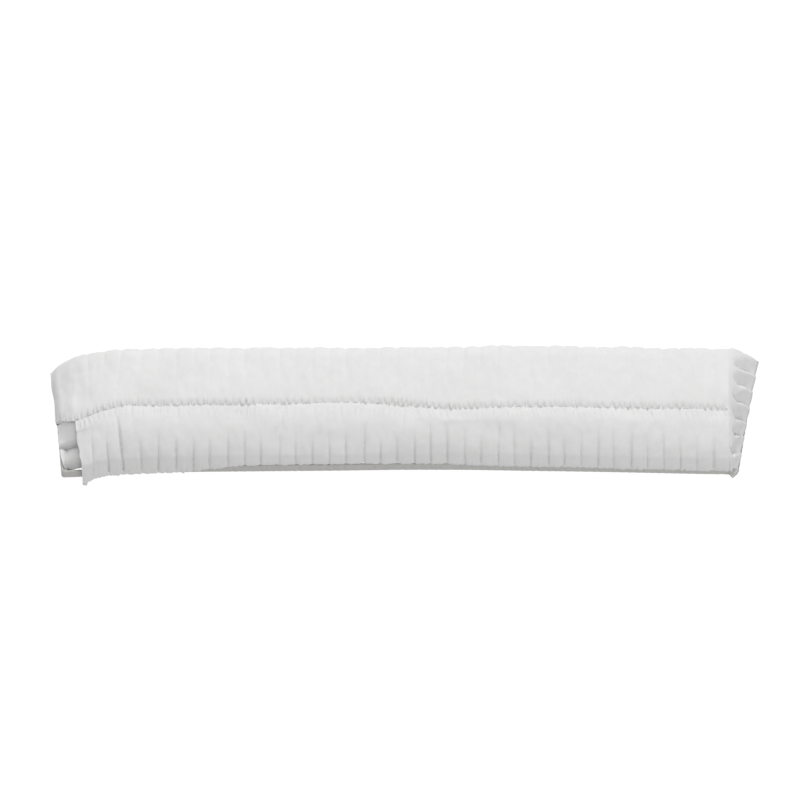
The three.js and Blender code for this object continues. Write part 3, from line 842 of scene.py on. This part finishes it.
# The rim band. Its profile runs from its outer foot over its top to its inner foot. puff is how much
# the gathers show there, and side is -1 where the cloth puffs out to the inside.
BAND_COLUMNS = ["depth", "height", "puff", "side"]
BAND_PROFILE = [
    [0.12, 0.0, 0.03, 1],
    [0.02, 0.25, 0.09, 1],
    [0.0, 0.8, 0.09, 1],
    [0.06, 1.3, 0.09, 1],
    [0.0, 1.8, 0.09, 1],
    [0.02, 2.6, 0.09, 1],
    [0.1, 3.15, 0.09, 1],
    [0.3, 3.36, 0.03, 1],
    [0.65, 3.4, 0.03, -1],
    [1.0, 3.36, 0.03, -1],
    [1.2, 3.15, 0.09, -1],
    [1.28, 2.6, 0.09, -1],
    [1.22, 1.7, 0.09, -1],
    [1.28, 0.8, 0.09, -1],
    [1.26, 0.25, 0.09, -1],
    [1.16, 0.0, 0.03, -1],
]
BAND_TOP = 3.0  # the profile is uneven above this height
BAND_SPACING = 0.45
BAND_CORNER = 0.7
BAND_START = 44  # the mesh begins at this point of the path, in the middle of the rear


def hem_path():
    """The band's outer face in plan, once round from the front left, anticlockwise from above."""
    x = np.linspace(-HALF_LENGTH + RECESS_LENGTH / 2, RIDGE_END, 27)
    y_front = HEM_SETBACK - FRONT_DEPTH * section("reach", x)
    y_rear = REAR_DEPTH * section("back", x) - HEM_SETBACK
    front = list(zip(slanted(x, y_front), y_front))
    rear = list(zip(slanted(x, y_rear), y_rear))[::-1]
    left_reach, left_back = SECTION_VALUES["reach"][0], SECTION_VALUES["back"][0]
    right_reach, right_back = SECTION_VALUES["reach"][-1], SECTION_VALUES["back"][-1]

    def corner(px, py):
        return (float(slanted(np.array(px), np.array(py))), py)

    ends = [
        corner(HALF_LENGTH - CORNER_RUN, -FRONT_DEPTH * right_reach - CORNER_FLARE),
        corner(HALF_LENGTH, HEM_SETBACK - FRONT_DEPTH * right_reach),
        corner(HALF_LENGTH - 0.45, 0.0),
        corner(HALF_LENGTH - 0.45, REAR_DEPTH * right_back * row_y[-1]),
    ]
    starts = [
        corner(-HALF_LENGTH + 0.6, REAR_DEPTH * left_back * row_y[-1]),
        corner(-HALF_LENGTH + 0.5, 0.0),
        corner(-HALF_LENGTH, HEM_SETBACK - FRONT_DEPTH * left_reach),
    ]
    return np.array([*front, *ends, *rear, *starts])


def rounded(path, count):
    """Points at even steps round a closed path, and how far along it they lie.

    Corners are rounded by averaging a short stretch of the path.
    """
    closed = np.concatenate([path, path[:1]])
    run = np.concatenate([[0], np.cumsum(np.linalg.norm(np.diff(closed, axis=0), axis=1))])
    along = np.arange(count) * run[-1] / count
    near = (along[:, None] + np.linspace(-BAND_CORNER, BAND_CORNER, 7)) % run[-1]
    line = [np.mean(np.interp(near, run, closed[:, axis]), axis=1) for axis in (0, 1)]
    return np.stack(line, axis=1), along


def path_length(path):
    return np.sum(np.linalg.norm(path - np.roll(path, 1, axis=0), axis=1))


def band_mesh():
    """The elastic rim band: a soft flat tube of gathered cloth over its elastic."""
    mesh = new_mesh()
    path = np.roll(hem_path(), -BAND_START, axis=0)
    count = 2 * round(path_length(path) / (2 * BAND_SPACING))
    line, along = rounded(path, count)
    way = unit(np.roll(line, -1, axis=0) - np.roll(line, 1, axis=0))
    out = np.stack([way[:, 1], -way[:, 0]], axis=1)
    gather = frills(along, 1.5, 3.6, 51)
    uneven_top = 0.05 * frills(along, 2.0, 5.0, 52) - 0.08
    loops = []
    for row in BAND_PROFILE:
        spot = dict(zip(BAND_COLUMNS, row))
        inset = spot["depth"] + spot["side"] * np.clip(spot["puff"] * gather + 0.05, 0, 0.4)
        rise = spot["height"] + (uneven_top if spot["height"] > BAND_TOP else np.zeros(count))
        loops.append(np.column_stack([line - out * inset[:, None], rise]))
    points = np.stack(loops, axis=1)
    profile_steps = np.arange(len(BAND_PROFILE)) * 0.6
    cloth_xy = np.stack(np.broadcast_arrays(along[:, None], profile_steps), axis=-1)
    grid = add_points(mesh, points, cloth_xy)
    ring = np.concatenate([grid, grid[:1]])
    add_faces(mesh, np.concatenate([ring, ring[:, :1]], axis=1), True)
    return mesh


# Materials


def cloth_material(name, base, cloudy, tint, roughness, sheen):
    """Spunbond nonwoven: laid fibres, a lattice of small welded points and cloudy density."""
    material = bpy.data.materials.new(name)
    material.use_nodes = True
    nodes, links = material.node_tree.nodes, material.node_tree.links
    shader = nodes["Principled BSDF"]
    shader.inputs["Sheen Weight"].default_value = sheen
    shader.inputs["Sheen Roughness"].default_value = 0.6
    shader.inputs["Specular IOR Level"].default_value = 0.25

    def node(kind, **inputs):
        made = nodes.new(kind)
        for key, value in inputs.items():
            made.inputs[key.replace("_", " ")].default_value = value
        return made

    def math_node(operation, a, b):
        made = nodes.new("ShaderNodeMath")
        made.operation = operation
        for socket, value in zip(made.inputs, (a, b)):
            if isinstance(value, (int, float)):
                socket.default_value = value
            else:
                links.new(value, socket)
        return made.outputs[0]

    place = node("ShaderNodeTexCoord").outputs["UV"]

    def turned(angle, scale):
        mapping = nodes.new("ShaderNodeMapping")
        mapping.inputs["Rotation"].default_value = (0, 0, angle)
        mapping.inputs["Scale"].default_value = scale
        links.new(place, mapping.inputs["Vector"])
        return mapping.outputs["Vector"]

    # Fibres: long thin noise in four directions
    fibres = None
    for angle, seed in [(0.3, 0.0), (1.15, 3.1), (2.0, 7.7), (2.75, 5.2)]:
        strand = node("ShaderNodeTexNoise", Scale=1.0, Detail=3.0, Roughness=0.6, Distortion=0.6)
        links.new(turned(angle, (420 + 20 * seed, 5200, 1)), strand.inputs["Vector"])
        strength = strand.outputs["Fac"]
        fibres = strength if fibres is None else math_node("MAXIMUM", fibres, strength)

    # Welded points: a lattice turned by 45 degrees, a little under 1 mm apart
    points = node("ShaderNodeTexVoronoi", Scale=1.0, Randomness=0.06)
    links.new(turned(math.pi / 4, (1150, 1150, 1)), points.inputs["Vector"])
    ramp = nodes.new("ShaderNodeMapRange")
    ramp.interpolation_type = "SMOOTHSTEP"
    ramp.inputs["From Min"].default_value = 0.15
    ramp.inputs["From Max"].default_value = 0.26
    links.new(points.outputs["Distance"], ramp.inputs["Value"])
    lattice = ramp.outputs["Result"]

    # Cloudy density of the laid fibres
    cloud = node("ShaderNodeTexNoise", Scale=260.0, Detail=4.0, Roughness=0.62)
    links.new(place, cloud.inputs["Vector"])
    wide = node("ShaderNodeTexNoise", Scale=45.0, Detail=2.0, Roughness=0.5)
    links.new(place, wide.inputs["Vector"])

    shade = nodes.new("ShaderNodeValToRGB")
    shade.color_ramp.elements[0].position = 0.3
    shade.color_ramp.elements[0].color = (*[c * cloudy * t for c, t in zip(base, tint)], 1)
    shade.color_ramp.elements[1].position = 0.7
    shade.color_ramp.elements[1].color = (*base, 1)
    fine_cloud = math_node("MULTIPLY", cloud.outputs["Fac"], 0.6)
    wide_cloud = math_node("MULTIPLY", wide.outputs["Fac"], 0.4)
    mixed = math_node("ADD", fine_cloud, wide_cloud)
    mixed = math_node("ADD", mixed, math_node("MULTIPLY", math_node("SUBTRACT", fibres, 0.6), 0.35))
    mixed = math_node("ADD", mixed, math_node("MULTIPLY", math_node("SUBTRACT", lattice, 1.0), 0.12))
    links.new(mixed, shade.inputs["Fac"])
    links.new(shade.outputs["Color"], shader.inputs["Base Color"])

    gloss = math_node("ADD", roughness, math_node("MULTIPLY", math_node("SUBTRACT", lattice, 1.0), 0.22))
    links.new(gloss, shader.inputs["Roughness"])

    height = math_node("ADD", math_node("MULTIPLY", fibres, 0.5), math_node("MULTIPLY", lattice, 0.2))
    height = math_node("ADD", height, math_node("MULTIPLY", cloud.outputs["Fac"], 0.4))
    bump = nodes.new("ShaderNodeBump")
    bump.inputs["Strength"].default_value = 0.55
    bump.inputs["Distance"].default_value = 0.00012
    links.new(height, bump.inputs["Height"])
    links.new(bump.outputs["Normal"], shader.inputs["Normal"])
    return material


nonwoven = cloth_material("nonwoven", (0.80, 0.805, 0.80), 0.93, (1.0, 1.0, 0.995), 0.86, 0.12)
# The rim band's cloth: its grey base, darker than the crown's, is partly the cloth's own tone and mostly
# painted shade of the dim band under the ribs' overhang.
rim_cloth_painted_shade = cloth_material("rim_cloth_painted_shade", (0.58, 0.575, 0.56), 0.9, (1.0, 0.995, 0.985), 0.82, 0.1)

crown = make_object("crown_cloth", crown_mesh(), nonwoven)
layers = make_object("inner_folds", layers_mesh(), nonwoven)
band = make_object("rim_band", band_mesh(), rim_cloth_painted_shade)

for piece, node_name, slot in [
    (crown, "pleated_crown", "nonwoven"),
    (layers, "pleated_crown", "nonwoven"),
    (band, "elastic_hem", "rim_band"),
]:
    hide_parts(node_name)
    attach(piece, "root")


# The camera, the floor and the light

PICTURE = 800  # pixels each way
PIXEL = 0.361 * MM  # at the cap
ELEVATION = math.radians(55)
LENS = 800.0  # a long lens from far away, as the photograph has hardly any perspective
SENSOR = 36.0
TARGET = Vector((-1.17, 10.27, 0)) * MM  # in the middle of the picture
FLOOR_REACH = 3.0
FLOOR_BELOW = 0.2 * MM


def add_camera():
    camera = bpy.data.objects.new("camera", bpy.data.cameras.new("camera"))
    bpy.context.scene.collection.objects.link(camera)
    camera.data.lens = LENS
    camera.data.sensor_width = SENSOR
    camera.data.clip_start = 0.05
    camera.data.clip_end = 40
    away = Vector((0, -math.cos(ELEVATION), math.sin(ELEVATION)))
    camera.location = TARGET + away * (PICTURE * PIXEL * LENS / SENSOR)
    camera.rotation_euler = (-away).to_track_quat("-Z", "Y").to_euler()
    bpy.context.scene.camera = camera


def add_floor():
    mesh = bpy.data.meshes.new("floor")
    corners = [(-1, -1), (1, -1), (1, 1), (-1, 1)]
    points = [(x * FLOOR_REACH, y * FLOOR_REACH, -FLOOR_BELOW) for x, y in corners]
    mesh.from_pydata(points, [], [(0, 1, 2, 3)])
    material = bpy.data.materials.new("floor")
    material.use_nodes = True
    shader = material.node_tree.nodes["Principled BSDF"]
    shader.inputs["Base Color"].default_value = (0.1, 0.1, 0.1, 1)
    shader.inputs["Roughness"].default_value = 0.95
    shader.inputs["Specular IOR Level"].default_value = 0.1
    shader.inputs["Emission Color"].default_value = (1, 1, 1, 1)
    shader.inputs["Emission Strength"].default_value = 0.95
    mesh.materials.append(material)
    floor = bpy.data.objects.new("floor", mesh)
    floor.visible_diffuse = False  # a white floor that doesn't glow on the cloth's lower edge
    bpy.context.scene.collection.objects.link(floor)


def add_world():
    world = bpy.data.worlds.new("studio")
    world.use_nodes = True
    background = world.node_tree.nodes["Background"]
    background.inputs["Color"].default_value = (1, 1, 1, 1)
    background.inputs["Strength"].default_value = 0.475
    bpy.context.scene.world = world


def area_light(name, place, aim, size, power):
    light = bpy.data.objects.new(name, bpy.data.lights.new(name, "AREA"))
    light.data.shape = "RECTANGLE"
    light.data.size, light.data.size_y = size
    light.data.energy = power
    light.location = place
    light.rotation_euler = (Vector(aim) - Vector(place)).to_track_quat("-Z", "Y").to_euler()
    bpy.context.scene.collection.objects.link(light)


add_camera()
add_floor()
add_world()
area_light("top_rear", (0.05, 0.98, 0.82), (0, 0, 0), (0.9, 0.5), 10.2)
area_light("left", (-0.9, 0.1, 0.55), (-0.1, 0, 0), (0.5, 0.5), 0.7)
area_light("front", (0.5, -0.95, 0.65), (0, 0, 0), (1.2, 0.4), 4.6)

bpy.context.scene.view_settings.view_transform = "Standard"
bpy.context.scene.view_settings.look = "None"
bpy.context.scene.view_settings.exposure = 0
bpy.context.scene.view_settings.gamma = 1
